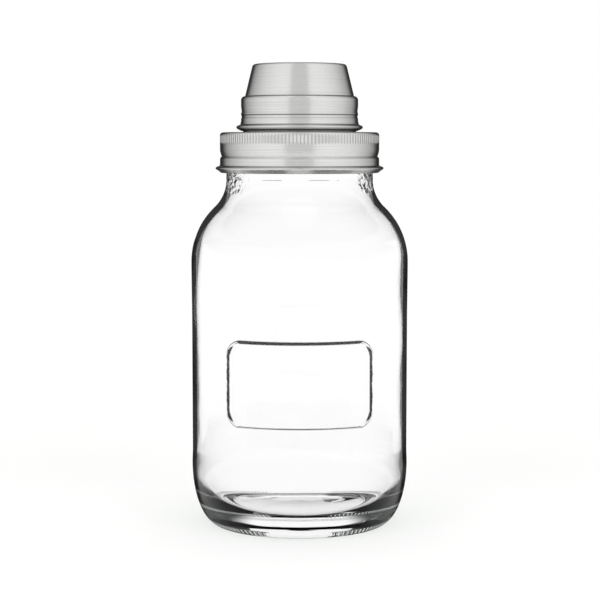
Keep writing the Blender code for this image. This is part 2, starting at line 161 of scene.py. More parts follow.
def turned(outline: Sequence[Point], columns: int, closed: bool = False) -> BMesh:
    """Spin an outline a quarter of the way about Z and mirror it twice.

    Args:
        outline: Points of radius and height.
        columns: Number of steps once round the axis, a multiple of four.
        closed: True if the last point joins the first.

    Returns:
        The turned mesh, merged where it meets the axis, with faces pointing out.
    """
    bm = bmesh.new()
    verts = [bm.verts.new((radius, 0.0, height)) for radius, height in outline]
    followers = verts[1:] + verts[:1] if closed else verts[1:]
    edges = [bm.edges.new(pair) for pair in zip(verts, followers)]
    bmesh.ops.spin(
        bm,
        geom=verts + edges,
        cent=(0.0, 0.0, 0.0),
        axis=(0.0, 0.0, 1.0),
        dvec=(0.0, 0.0, 0.0),
        angle=math.tau / 4,
        steps=columns // 4,
        use_merge=False,
        use_duplicate=False,
    )
    for axis in ("X", "Y"):
        whole = bm.verts[:] + bm.edges[:] + bm.faces[:]
        bmesh.ops.mirror(bm, geom=whole, axis=axis, merge_dist=MERGE_DISTANCE)
    bmesh.ops.remove_doubles(bm, verts=bm.verts, dist=MERGE_DISTANCE)
    bmesh.ops.recalc_face_normals(bm, faces=bm.faces)
    return bm


def swell(bm: BMesh, rise: Rise) -> None:
    """Move each vertex outwards from the axis.

    Args:
        bm: Mesh to shape.
        rise: Gives the outward move for an angle, a radius and a height.
    """
    for vert in bm.verts:
        radius = math.hypot(vert.co.x, vert.co.y)
        if radius > MERGE_DISTANCE:
            moved = radius + rise(math.atan2(vert.co.y, vert.co.x), radius, vert.co.z)
            vert.co.x *= moved / radius
            vert.co.y *= moved / radius


def walled(bm: BMesh, outline: Sequence[Point], rise: Optional[Rise] = None) -> BMesh:
    """Turn a sheet's faces to the outer side of its outline and give it its wall on the other side.

    Args:
        bm: The outer side as a sheet.
        outline: Its outline down and outwards, whose longest chord tells the outer side.
        rise: Outward move of the outer side before it gets its wall, or None.

    Returns:
        The same mesh, closed.
    """
    start, end = max(zip(outline, outline[1:]), key=lambda chord: math.dist(*chord))
    middle = Vector(((start[0] + end[0]) / 2, 0.0, (start[1] + end[1]) / 2))
    outward = Vector((start[1] - end[1], 0.0, end[0] - start[0]))
    bm.normal_update()
    nearest = min(bm.faces, key=lambda face: (face.calc_center_median() - middle).length_squared)
    if nearest.normal.dot(outward) < 0.0:
        bmesh.ops.reverse_faces(bm, faces=bm.faces[:])
    if rise is not None:
        swell(bm, rise)
    bmesh.ops.solidify(bm, geom=bm.faces[:], thickness=SHEET)
    bmesh.ops.recalc_face_normals(bm, faces=bm.faces)
    return bm


def mark(bm: BMesh, level: Rise) -> None:
    """Write each vertex's painted relief shade: how far creases and grooves hold the light back there.

    Args:
        bm: The finished mesh.
        level: Gives the painted shade, 0 to 1, for an angle, a radius and a height.
    """
    layer = bm.verts.layers.float.new("relief")
    for vert in bm.verts:
        radius = math.hypot(vert.co.x, vert.co.y)
        vert[layer] = level(math.atan2(vert.co.y, vert.co.x), radius, vert.co.z)


def creased(height: float, creases: Sequence[Triple]) -> float:
    """The deepest painted shade at a height, from creases given by height, half-width and depth."""
    return max(depth * bell(height - place, half) for place, half, depth in creases)


@dataclass(frozen=True)
class Thread:
    """A right-hand helical ridge that runs down from its top end: its place, length and section."""

    top: float
    turns: float
    start: float
    height: float
    half_root: float
    half_crest: float
    run_out: float = 0.7

    def rise(self, angle: float, height: float) -> float:
        """Measure the ridge's height over its wall.

        Args:
            angle: Angle of the point about the axis.
            height: Height of the point.

        Returns:
            How far the nearest turn of the ridge stands out there.
        """
        nearest, left = math.inf, 0.0
        wound = (self.start - angle) % math.tau
        while wound <= self.turns * math.tau:
            offset = abs(height - (self.top - THREAD_PITCH * wound / math.tau))
            if offset < nearest:
                nearest, left = offset, ease(min(wound, self.turns * math.tau - wound), 0.0, self.run_out)
            wound += math.tau
        return self.height * left * ease(nearest, self.half_root, self.half_crest)


@dataclass(frozen=True)
class Ripple:
    """A slow wave of hot glass: its weight, lobes round the axis, turn per metre and phase."""

    weight: float
    lobes: int
    twist: float
    phase: float

    def at(self, angle: float, along: float) -> float:
        """The wave's value at an angle, and at a height or a radius."""
        return self.weight * math.sin(self.lobes * angle + self.twist * along + self.phase)


def linked(name: str, data: Any) -> Object:
    """Add an object to the scene.

    Args:
        name: Its name.
        data: Its mesh, lamp or camera.

    Returns:
        The new object.
    """
    made = bpy.data.objects.new(name, data)
    bpy.context.scene.collection.objects.link(made)
    return made


def placed(name: str, bm: BMesh, surface: Material) -> Object:
    """Make a mesh an object of the scene.

    Args:
        name: The object's name.
        bm: Its mesh, freed here.
        surface: Its material.

    Returns:
        The new object.
    """
    mesh = bpy.data.meshes.new(name)
    bm.to_mesh(mesh)
    bm.free()
    mesh.materials.append(surface)
    return linked(name, mesh)


# Finishes


@dataclass(frozen=True)
class Finish:
    """A material and the record's slot that it stands for."""

    surface: Material
    slot: Slot


def publish(
    name: str, bm: BMesh, finish: Finish, body: Body, node: str, crease: float = 35.0
) -> Object:
    """Make a finished mesh a piece of the shaker.

    Args:
        name: The piece's name.
        bm: Its mesh, freed here.
        finish: Its material and slot.
        body: The body that it rides on.
        node: The solid that it stands for.
        crease: Angle in degrees over which an edge stays sharp.

    Returns:
        The new object.
    """
    made = placed(name, bm, finish.surface)
    made.data.shade_smooth()
    made.data.set_sharp_from_angle(angle=math.radians(crease))
    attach(made, body.value)
    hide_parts(node)
    return made


def linear(colour: str) -> Colour:
    """Turn an sRGB hex colour such as #d8d8d6 into linear red, green, blue and alpha."""
    channels = [int(colour[place : place + 2], 16) / 255 for place in (1, 3, 5)]
    return (*(c / 12.92 if c <= 0.04045 else ((c + 0.055) / 1.055) ** 2.4 for c in channels), 1.0)


def grey(level: float) -> Colour:
    """A linear grey."""
    return (level, level, level, 1.0)


def bare(made: Any) -> NodeTree:
    """Empty a new material's or world's node tree.

    Args:
        made: The material or world.

    Returns:
        Its tree, without a node.
    """
    made.use_nodes = True
    made.node_tree.nodes.clear()
    return made.node_tree


def add_node(tree: NodeTree, kind: str, inputs: Inputs = (), **settings: Any) -> Node:
    """Add a node with its settings and links.

    Args:
        tree: Tree that gets the node.
        kind: The node's type name without its leading ShaderNode.
        inputs: Numbers, sockets or nodes for its inputs, by name, or in the order of those in use. A
            node stands for its first output in use.
        settings: Values of the node's own properties.

    Returns:
        The new node.
    """
    made = tree.nodes.new("ShaderNode" + kind)
    for name, value in settings.items():
        setattr(made, name, value)
    if isinstance(inputs, dict):
        pairs = [(made.inputs[name], value) for name, value in inputs.items()]
    else:
        pairs = list(zip([socket for socket in made.inputs if socket.enabled], inputs))
    for socket, value in pairs:
        if isinstance(value, Node):
            value = next(output for output in value.outputs if output.enabled)
        if isinstance(value, NodeSocket):
            tree.links.new(value, socket)
        else:
            socket.default_value = value
    return made


def grade(ramp: Node, stops: Sequence[Point]) -> Node:
    """Set the stops of a colour ramp to greys.

    Args:
        ramp: The ramp's node.
        stops: Places and grey levels, in rising order.

    Returns:
        The same node.
    """
    elements = ramp.color_ramp.elements
    while len(elements) < len(stops):
        elements.new(1.0)
    for element, (place, level) in zip(elements, stops):
        element.position = place
        element.color = grey(level)
    return ramp


def faded(tree: NodeTree, pattern: Any, fades: Sequence[tuple[Any, float, float]]) -> Any:
    """Fade a pattern out at its borders.

    Args:
        tree: Tree that gets the nodes.
        pattern: Node or socket of the pattern.
        fades: Measures, each with the values at which none and all of the pattern is left.

    Returns:
        Node of the faded pattern.
    """
    for measure, none, full in fades:
        share = add_node(tree, "MapRange", (measure, none, full, 0.0, 1.0), **SMOOTH)
        pattern = add_node(tree, "Math", (pattern, share), operation="MULTIPLY")
    return pattern


def around_axis(tree: NodeTree, place: NodeSocket) -> tuple[Any, Node]:
    """Split object coordinates for a pattern that runs round the axis.

    Args:
        tree: Tree that gets the nodes.
        place: Object coordinates.

    Returns:
        The sockets of X, Y and Z, and the node of the distance from the axis.
    """
    parts = add_node(tree, "SeparateXYZ", (place,)).outputs
    flat = add_node(tree, "CombineXYZ", (parts[0], parts[1]))
    return parts, add_node(tree, "VectorMath", (flat,), operation="LENGTH")


@dataclass(frozen=True)
class PressedGlass:
    """Clear soda-lime glass, blown in an iron mould.

    It is colourless with a bright polished skin. The mould leaves slow waves in it, lumps on the neck
    beside its seams and a belt of short oblique strokes with scuffed crests on the heel.
    """

    tint: str = "#ffffff"
    edge_tint: str = "#888888"
    painted_line_shade: str = "#0d0e0e"
    ior: float = 1.52
    roughness: float = 0.0
    wave: float = 0.011
    wave_height: float = 0.00004
    neck_lump: float = 0.0042
    neck_lump_height: float = 0.0011
    neck_middle: float = 0.1600
    neck_half: float = 0.0062
    neck_clear: float = 0.0245
    neck_fade: float = 0.0045
    stroke_count: float = 118.0
    stroke_slant: float = 700.0
    stroke_inner: float = 0.0420
    stroke_outer: float = 0.0446
    stroke_head: Point = (0.0040, 0.0028)
    stroke_worn: Point = (0.012, 0.020)
    stroke_height: float = 0.00030
    scuff: str = "#e9ecea"
    scuff_from: Point = (0.25, 0.7)
    scuff_most: float = 0.9
    shade_through: str = "#f4f6f5"

    def material(self) -> Material:
        """Build the material.

        Returns:
            The glass, which lets lamp light straight through so that the table keeps a light shadow.
        """
        made = bpy.data.materials.new("soda_lime_glass")
        tree = bare(made)
        place = add_node(tree, "TexCoord").outputs["Object"]
        # Painted shade: the relief attribute turns the glass dark along the panel's line, where its steep
        # flanks bend the view away from the light
        relief = add_node(tree, "Attribute", attribute_name="relief").outputs["Fac"]
        colour = add_node(tree, "Mix", (relief, linear(self.tint), linear(self.painted_line_shade)), **COLOURS)
        waves = add_node(tree, "TexNoise", {"Vector": place, "Scale": 1 / self.wave, "Detail": 1.0})
        strokes = self.strokes(tree, place)
        below = {}
        for height, depth in (
            (waves, self.wave_height),
            (self.lumps(tree, place), self.neck_lump_height),
            (strokes, self.stroke_height),
        ):
            bump = add_node(tree, "Bump", {"Strength": 1.0, "Distance": depth, "Height": height} | below)
            below = {"Normal": bump}
        skin = add_node(
            tree,
            "BsdfPrincipled",
            {
                "Base Color": colour,
                "Roughness": self.roughness,
                "IOR": self.ior,
                "Specular Tint": linear(self.edge_tint),
                "Transmission Weight": 1.0,
            }
            | below,
        )
        scuff = add_node(tree, "BsdfDiffuse", (linear(self.scuff),))
        crest = add_node(tree, "MapRange", (strokes, *self.scuff_from, 0.0, self.scuff_most), **SMOOTH)
        skin = add_node(tree, "MixShader", (crest, skin, scuff))
        clear = add_node(tree, "BsdfTransparent", (linear(self.shade_through),))
        path = add_node(tree, "LightPath").outputs
        lit = add_node(tree, "Math", (path["Is Shadow Ray"], path["Is Diffuse Ray"]), operation="MAXIMUM")
        add_node(tree, "OutputMaterial", (add_node(tree, "MixShader", (lit, skin, clear)),))
        return made

    def lumps(self, tree: NodeTree, place: NodeSocket) -> Node:
        """The chilled, lumpy skin of the neck below the lid, on both sides by the mould's seams.

        Args:
            tree: The glass's tree.
            place: Object coordinates.

        Returns:
            The lumps' height, below 0 in the hollows between them.
        """
        parts = add_node(tree, "SeparateXYZ", (place,)).outputs
        noise = add_node(tree, "TexNoise", {"Vector": place, "Scale": 1 / self.neck_lump, "Detail": 2.0})
        lump = add_node(tree, "Math", (noise, 0.5), operation="SUBTRACT")
        off = add_node(tree, "Math", (parts[2], self.neck_middle), operation="SUBTRACT")
        off = add_node(tree, "Math", (off,), operation="ABSOLUTE")
        aside = add_node(tree, "Math", (parts[0],), operation="ABSOLUTE")
        belt = (off, self.neck_half, self.neck_half * 0.5)
        return faded(tree, lump, (belt, (aside, self.neck_clear, self.neck_clear + self.neck_fade)))

    def strokes(self, tree: NodeTree, place: NodeSocket) -> Node:
        """The belt of short oblique strokes round the heel, worn away in front and behind.

        Args:
            tree: The glass's tree.
            place: Object coordinates.

        Returns:
            The strokes' height, up to 1.
        """
        parts, radius = around_axis(tree, place)
        angle = add_node(tree, "Math", (parts[1], parts[0]), operation="ARCTAN2")
        slant = add_node(tree, "Math", (radius, self.stroke_slant), operation="MULTIPLY")
        phase = add_node(tree, "Math", (angle, self.stroke_count, slant), operation="MULTIPLY_ADD")
        ribs = add_node(tree, "Math", (phase,), operation="SINE")
        half = (self.stroke_outer - self.stroke_inner) / 2
        off = add_node(tree, "Math", (radius, self.stroke_inner + half), operation="SUBTRACT")
        off = add_node(tree, "Math", (off,), operation="ABSOLUTE")
        aside = add_node(tree, "Math", (parts[0],), operation="ABSOLUTE")
        belt = (off, half, half * 0.6)
        return faded(tree, ribs, (belt, (parts[2], *self.stroke_head), (aside, *self.stroke_worn)))


@dataclass(frozen=True)
class BrushedSteel:
    """Stainless steel sheet, brushed with fine grit after it was pressed.

    The lines lie round the axis on turned pieces, so reflections stay crisp sideways and smear up and
    down, and each edge that turns away from the eye goes dark.
    """

    name: str
    colour: str
    grain: Grain
    roughness: float = 0.27
    roughness_swing: float = 0.04
    edge_tint: str = "#a8a8a8"
    anisotropy: float = 0.95
    line: float = 0.0004
    line_depth: float = 0.000004
    line_swing: Point = (0.3, 0.7)
    streaks_around: float = 14.0
    streaks_straight: float = 26.0
    painted_crease_shade_stops: tuple[Point, ...] = ((0.0, 1.0), (1.0, 0.04))
    streak_stops: tuple[Point, ...] = ((0.30, 0.92), (0.50, 0.98), (0.70, 1.0))

    def material(self) -> Material:
        """Build the material.

        Returns:
            The brushed steel.
        """
        made = bpy.data.materials.new(self.name)
        tree = bare(made)
        lines = self.lines(tree)
        # Painted shade: the relief attribute darkens the steel's colour in its creases, grooves and knurl
        # valleys
        crease = add_node(tree, "Attribute", attribute_name="relief").outputs["Fac"]
        colour = linear(self.colour)
        for measure, stops in ((crease, self.painted_crease_shade_stops), (lines, self.streak_stops)):
            shade = grade(add_node(tree, "ValToRGB", (measure,)), stops)
            colour = add_node(tree, "Mix", (1.0, colour, shade), blend_type="MULTIPLY", **COLOURS)
        ends = (self.roughness + self.roughness_swing, self.roughness - self.roughness_swing)
        inputs = {
            "Base Color": colour,
            "Metallic": 1.0,
            "Specular Tint": linear(self.edge_tint),
            "Roughness": add_node(tree, "MapRange", (lines, *self.line_swing, *ends)),
            "Normal": add_node(tree, "Bump", {"Strength": 0.6, "Distance": self.line_depth, "Height": lines}),
        }
        if self.grain is Grain.AROUND:
            tangent = add_node(tree, "Tangent", direction_type="RADIAL", axis="Z")
            inputs |= {"Anisotropic": self.anisotropy, "Anisotropic Rotation": 0.25, "Tangent": tangent}
        add_node(tree, "OutputMaterial", (add_node(tree, "BsdfPrincipled", inputs),))
        return made

    def lines(self, tree: NodeTree) -> Node:
        """The brush lines, drawn wider than the real tenth of a millimetre so that they show.

        Args:
            tree: The steel's tree.

        Returns:
            Their pattern, about 0.5 on average.
        """
        place = add_node(tree, "TexCoord").outputs["Object"]
        stretch = (self.streaks_straight, 1 / self.line, 1 / self.line)
        if self.grain is Grain.AROUND:
            parts, radius = around_axis(tree, place)
            across = add_node(tree, "Math", (parts[2], radius), operation="SUBTRACT")
            place = add_node(tree, "CombineXYZ", (parts[0], parts[1], across))
            stretch = (self.streaks_around, self.streaks_around, 1 / self.line)
        scaled = add_node(tree, "Mapping", {"Vector": place, "Scale": stretch})
        return add_node(tree, "TexNoise", {"Vector": scaled, "Scale": 1.0, "Detail": 3.0})


@dataclass(frozen=True)
class MouldedPolymer:
    """A moulded plastic or rubber piece: a faint grain from the mould over a soft, even colour."""

    name: str
    colour: str
    shade: str
    roughness: float
    ior: float
    grain: float
    depth: float
    scatter: float
    scatter_reach: float = 0.001
    roughness_swing: float = 0.06

    def material(self) -> Material:
        """Build the material.

        Returns:
            The polymer.
        """
        made = bpy.data.materials.new(self.name)
        tree = bare(made)
        place = add_node(tree, "TexCoord").outputs["Object"]
        noise = add_node(tree, "TexNoise", {"Vector": place, "Scale": 1 / self.grain, "Detail": 4.0})
        cloud = add_node(tree, "TexNoise", {"Vector": place, "Scale": 0.1 / self.grain, "Detail": 2.0})
        ends = (self.roughness - self.roughness_swing, self.roughness + self.roughness_swing)
        inputs = {
            "Base Color": add_node(tree, "Mix", (cloud, linear(self.shade), linear(self.colour)), **COLOURS),
            "Roughness": add_node(tree, "MapRange", (noise, 0.3, 0.7, *ends)),
            "IOR": self.ior,
            "Subsurface Weight": self.scatter,
            "Subsurface Scale": self.scatter_reach,
            "Normal": add_node(tree, "Bump", {"Strength": 0.5, "Distance": self.depth, "Height": noise}),
        }
        add_node(tree, "OutputMaterial", (add_node(tree, "BsdfPrincipled", inputs),))
        return made


@dataclass(frozen=True)
class Finishes:
    """The finishes of all the pieces."""

    glass: Finish
    brushed_steel: Finish
    strainer_steel: Finish
    plastic: Finish
    silicone: Finish

    @classmethod
    def mixed(cls) -> "Finishes":
        """Make all the materials.

        Returns:
            The finishes.
        """
        steel = BrushedSteel("brushed_stainless_steel", "#e6e6e4", Grain.AROUND)
        strainer = BrushedSteel("punched_stainless_sheet", "#d2d2cf", Grain.STRAIGHT, 0.34)
        plastic = MouldedPolymer(
            "moulded_polypropylene", "#eceae5", "#e2e0da", 0.42, 1.49, 0.0009, 0.00002, 0.1
        )
        silicone = MouldedPolymer(
            "white_silicone_rubber", "#e9e9e5", "#dcdcd7", 0.55, 1.41, 0.0006, 0.00001, 0.3
        )
        return cls(
            glass=Finish(PressedGlass().material(), Slot.GLASS),
            brushed_steel=Finish(steel.material(), Slot.SATIN_STEEL),
            strainer_steel=Finish(strainer.material(), Slot.STRAINER_STEEL),
            plastic=Finish(plastic.material(), Slot.PLASTIC),
            silicone=Finish(silicone.material(), Slot.SILICONE),
        )


# The jar


@dataclass(frozen=True)
class LabelPanel:
    """The raised rounded rectangle for a written label on the jar's front, and its line's painted shade."""

    foot: float = 0.0512
    head: float = 0.0895
    width: float = 0.0708
    corner: float = 0.0077
    line_half: float = 0.00085
    line_height: float = 0.00045
    passes: tuple[float, ...] = (0.0032, 0.0021, 0.0013)
    # Widths, insets, fades and wander of the painted shade drawn along the line
    level_half: float = 0.00028
    level_inset: float = 0.0001
    head_gain: float = 0.00052
    head_lean: float = 0.00012
    corner_shift: float = 0.0005
    upright_half: float = 0.00072
    upright_wander: float = 0.00012
    upright_inset: float = 0.00085
    straight_from: Point = (0.25, 0.05)
    head_from: Point = (0.0, 0.5)
    level_from: Point = (0.10, 0.4)
    upright_from: Point = (0.45, 0.9)
    wander: Triple = (900.0, 610.0, 1900.0)
    least_half: float = 0.0001

    def distance(self, across: float, up: float) -> Triple:
        """Measure a point of the unrolled side against the panel's outline.

        Args:
            across: Arc length from the middle of the front.
            up: Height.

        Returns:
            Distance outside the outline (negative inside), and the outline's outward direction
            across and up.
        """
        middle = (self.head + self.foot) / 2
        beyond = (
            abs(across) - (self.width / 2 - self.corner),
            abs(up - middle) - ((self.head - self.foot) / 2 - self.corner),
        )
        if beyond[0] > 0.0 and beyond[1] > 0.0:
            reach = math.hypot(*beyond)
            way = (beyond[0] / reach, beyond[1] / reach)
        else:
            reach = max(beyond)
            way = (1.0, 0.0) if beyond[0] > beyond[1] else (0.0, 1.0)
        return (reach - self.corner, math.copysign(way[0], across), math.copysign(way[1], up - middle))

    def rise(self, across: float, up: float) -> float:
        """The raised line's height at a point of the unrolled side."""
        return self.line_height * bell(self.distance(across, up)[0], self.line_half)

    def dark(self, across: float, up: float) -> float:
        """Painted shade of the line at a point: its steep flanks bend the view away from the light.

        Args:
            across: Arc length from the middle of the front.
            up: Height.

        Returns:
            0 for clear glass to 1 for the darkest part of the line.
        """
        off, sideways, upwards = self.distance(across, up)
        slow, upright, fine = self.wander
        wander = math.sin(slow * across + 1.0) * math.sin(upright * up) + 0.5 * math.sin(fine * (across + up))
        straight = ease(abs(sideways), *self.straight_from)
        lean = self.head_gain - self.head_lean * across / self.width
        gain = lean * straight * ease(upwards, *self.head_from)
        shift = self.corner_shift * (1 - straight) - self.level_inset
        outer = ease(abs(upwards), *self.level_from) * plateau(off - shift, self.level_half + gain)
        half = (self.upright_half + self.upright_wander * wander) * ease(abs(sideways), *self.upright_from)
        return max(outer, plateau(off + self.upright_inset, half) if half > self.least_half else 0.0)


@dataclass
class GlassJar:
    """The one-litre jar: pushed-up base, heel, set-back side, round shoulder, neck and thread."""

    finishes: Finishes
    height: float = 0.1803
    body_radius: float = 0.0504
    contact_bulge: float = 0.0002
    heel_height: float = 0.0282
    heel_blend: float = 0.0068
    heel_turn: float = 77.7
    zone_head: float = 0.0940
    zone_blend: float = 0.0286
    side_head: float = 0.1225
    bearing_radius: float = 0.0411
    bearing_width: float = 0.0030
    bearing_round: float = 0.0005
    push_up_step: float = 0.0010
    push_up_rise: float = 0.0035
    push_up_power: float = 2.4
    body_wall: float = 0.0026
    floor_wall: float = 0.0048
    floor_radius: float = 0.0310
    inner_heel: float = 0.0240
    shoulder_round: float = 0.0350
    shoulder_lift: float = 0.0008
    neck_fillet: float = 0.0179
    neck_radius: float = 0.0341
    neck_height: float = 0.0193
    neck_wall: float = 0.0033
    neck_view: float = 0.14
    finish_height: float = 0.0115
    finish_inset: float = 0.0005
    finish_chamfer: float = 0.0005
    lip_round: float = 0.0010
    mouth_wall: float = 0.0030
    mouth_height: float = 0.004
    thread_drop: float = 0.0024
    thread_turns: float = 1.25
    thread_height: float = 0.0012
    thread_half: Point = (0.0012, 0.0003)
    joint_line_height: float = 0.1613
    joint_line_half: float = 0.0005
    joint_line_rise: float = 0.00008
    joint_line_left: Point = (-0.9, 0.1)
    wall_wave: float = 0.00014
    wall_wave_foot: Point = (0.020, 0.035)
    wall_wave_head: Point = (0.15, 0.125)
    floor_wave: float = 0.00022
    floor_zone: Point = (0.0055, 0.020)
    floor_wave_aside: Point = (0.009, 0.019)
    floor_wave_edge: Point = (0.045, 0.036)
    heel_margin: Point = (0.0040, 0.003)
    side_rows: int = 58
    dome_steps: int = 20
    round_steps: int = 6
    heel_steps: tuple[int, int] = (34, 26)
    shoulder_steps: tuple[int, int] = (26, 20)
    neck_chord: float = 0.0015
    thread_chord: float = 0.0003
    inner_chord: float = 0.004
    columns: int = 200
    panel: LabelPanel = LabelPanel()
    joint_breaks: tuple[Ripple, ...] = (Ripple(1.0, 9, 0.0, 0.4), Ripple(0.8, 31, 0.0, 2.0))
    wall_ripples: tuple[Ripple, ...] = (Ripple(1.0, 2, 90.0, 0.0), Ripple(0.6, 3, -140.0, 1.3))
    floor_ripples: tuple[Ripple, ...] = (Ripple(1.0, 2, 210.0, 0.5), Ripple(0.7, 3, -330.0, 2.1))

    @property
    def thread(self) -> Thread:
        """The ridge round the jar's finish."""
        top = self.height - self.thread_drop
        return Thread(top, self.thread_turns, 0.0, self.thread_height, *self.thread_half)

    @property
    def contact(self) -> float:
        """The widest radius, at the heel and the shoulder."""
        return self.body_radius + self.contact_bulge

    @property
    def heel(self) -> Point:
        """Half-widths of the heel's ellipse, outwards and upwards."""
        turn, reach = math.radians(self.heel_turn), self.contact - self.bearing_radius
        return (reach / (1 - math.cos(turn)), self.heel_height / math.sin(turn))

    def side_radius(self, height: float) -> float:
        """Measure the side between the heel and the shoulder.

        Args:
            height: A height.

        Returns:
            The outer radius there.
        """
        low = 1.0 - ease(height, self.heel_height, self.heel_height + self.heel_blend)
        high = ease(height, self.zone_head, self.zone_head + self.zone_blend)
        return self.body_radius + self.contact_bulge * max(low, high)

    def shoulder(self, radii: Point, arcs: Point, base: float, steps: int) -> list[Point]:
        """Join the body to the neck with two tangent arcs.

        Args:
            radii: Radius of the body and of the neck.
            arcs: Radius of the lower, outward arc and of the upper, inward arc.
            base: Height at which the neck starts.
            steps: Chords in each arc.

        Returns:
            The points from the body up to the neck.
        """
        body, neck = radii
        rounding, fillet = arcs
        bend = math.acos(1 - (body - neck) / (rounding + fillet))
        start = base - (rounding + fillet) * math.sin(bend)
        turn = math.degrees(bend)
        lower = arc((body - rounding, start), (rounding, rounding), 0.0, turn, steps)
        return lower + arc((neck + fillet, base), (fillet, fillet), 180.0 + turn, 180.0, steps)[1:]

    def dome(self, radius: float, edge: float) -> list[Point]:
        """A low dome of the push-up's rise, from the axis out to its edge.

        Args:
            radius: Radius of the edge.
            edge: Height of the edge.

        Returns:
            The dome's points.
        """
        shares = [step / self.dome_steps for step in range(self.dome_steps + 1)]
        return [(radius * s, edge + self.push_up_rise * (1 - s**self.push_up_power)) for s in shares]

    def outside(self) -> list[Point]:
        """Draw the outer side.

        Returns:
            Its points, from the middle of the base up to the top of the lip.
        """
        bearing_inner = self.bearing_radius - self.bearing_width
        fillet = (3 * self.push_up_step, self.push_up_step)
        points = self.dome(bearing_inner - fillet[0], self.push_up_step)
        points += arc((bearing_inner, fillet[1]), fillet, 180.0, 270.0, self.round_steps)[1:]
        points += [(self.bearing_radius - self.bearing_round, 0.0)]
        centre = (self.contact - self.heel[0], self.heel_height)
        points += arc(centre, self.heel, -self.heel_turn, 0.0, self.heel_steps[0])
        neck_base = self.height - self.neck_height
        arcs = (self.shoulder_round, self.neck_fillet)
        radii = (self.contact, self.neck_radius)
        shoulder = self.shoulder(radii, arcs, neck_base, self.shoulder_steps[0])
        rise = shoulder[0][1] - self.heel_height
        for row in range(1, self.side_rows):
            height = self.heel_height + rise * row / self.side_rows
            points.append((self.side_radius(height), height))
        points += shoulder
        finish = self.neck_radius - self.finish_inset
        finish_base = self.height - self.finish_height
        neck_top = finish_base - self.finish_chamfer
        neck = [(self.neck_radius, neck_base + self.thread_chord), (self.neck_radius, neck_top)]
        points += spaced(neck, self.neck_chord)
        wall = [(finish, finish_base), (finish, self.height - self.lip_round)]
        points += spaced(wall, self.thread_chord)
        return points + corner(finish, self.height, self.lip_round, 0.0, 90.0)[1:]

    def inside(self) -> list[Point]:
        """Draw the inner side.

        Returns:
            Its points, from the top of the lip down to the middle of the floor.
        """
        mouth = self.neck_radius - self.finish_inset - self.mouth_wall
        inner = self.body_radius - self.body_wall
        lip = (mouth + self.lip_round, self.height - self.lip_round)
        points = arc(lip, (self.lip_round, self.lip_round), 90.0, 180.0, self.round_steps)
        shoulder = self.shoulder(
            (inner, self.neck_radius - self.neck_wall),
            (self.shoulder_round - self.body_wall, self.neck_fillet + self.neck_wall),
            self.height - self.neck_height + self.shoulder_lift,
            self.shoulder_steps[1],
        )
        points += spaced([(mouth, lip[1] - self.mouth_height), shoulder[-1]], self.inner_chord)
        points += shoulder[-2::-1]
        points += spaced([shoulder[0], (inner, self.inner_heel)], self.inner_chord)[1:]
        floor_edge = self.push_up_step + self.floor_wall
        heel = (inner - self.floor_radius, self.inner_heel - floor_edge)
        points += arc((self.floor_radius, self.inner_heel), heel, 0.0, -90.0, self.heel_steps[1])[1:]
        return points + self.dome(self.floor_radius, floor_edge)[-2::-1]

    def on_side(self, radius: float, height: float) -> bool:
        """True on the outer side between the heel and the shoulder."""
        return self.heel_height < height < self.side_head and radius > self.body_radius - self.body_wall / 2

    def across(self, angle: float) -> float:
        """Arc length on the side from the middle of the front to an angle."""
        return self.body_radius * math.remainder(angle + math.pi / 2, math.tau)

    def rise(self, angle: float, radius: float, height: float) -> float:
        """The outward move of a point of the plain turned jar.

        Args:
            angle: Angle about the axis.
            radius: Distance from the axis.
            height: Height.

        Returns:
            Height of the panel's line, thread or joint line there, or the inner wall's slow wave.
        """
        if self.on_side(radius, height):
            return self.side_radius(height) + self.panel.rise(self.across(angle), height) - radius
        finish = self.neck_radius - self.finish_inset
        if height > self.height - self.finish_height and radius > finish - self.lip_round / 2:
            return self.thread.rise(angle, height)
        if radius > self.neck_radius - self.neck_wall / 2 and height > self.neck_view:
            left = ease(sum(ripple.at(angle, height) for ripple in self.joint_breaks), *self.joint_line_left)
            return self.joint_line_rise * left * bell(height - self.joint_line_height, self.joint_line_half)
        if radius < self.body_radius - self.body_wall / 2:
            wave = self.wall_wave * sum(ripple.at(angle, height) for ripple in self.wall_ripples)
            return wave * ease(height, *self.wall_wave_foot) * ease(height, *self.wall_wave_head)
        return 0.0

    def ripple_floor(self, bm: BMesh) -> None:
        """Lift and sink the inner floor in slow swirls, as hot glass settles.

        Args:
            bm: The turned jar.
        """
        low, high = self.floor_zone
        for vert in bm.verts:
            radius = math.hypot(vert.co.x, vert.co.y)
            if not low < vert.co.z < high or radius >= self.bearing_radius + self.heel_margin[0]:
                continue
            if radius > self.floor_radius and vert.co.z < self.outer_height(radius) + self.heel_margin[1]:
                continue
            angle = math.atan2(vert.co.y, vert.co.x)
            swirl = sum(ripple.at(angle, radius) for ripple in self.floor_ripples)
            aside = ease(abs(vert.co.x), *self.floor_wave_aside) * ease(radius, *self.floor_wave_edge)
            vert.co.z += self.floor_wave * swirl * aside

    def outer_height(self, radius: float) -> float:
        """Height of the heel's outer side at a radius, 0 inside the bearing ring's edge."""
        share = min(1.0, max(0.0, (radius - self.contact + self.heel[0]) / self.heel[0]))
        return max(0.0, self.heel_height - self.heel[1] * math.sqrt(1 - share * share))

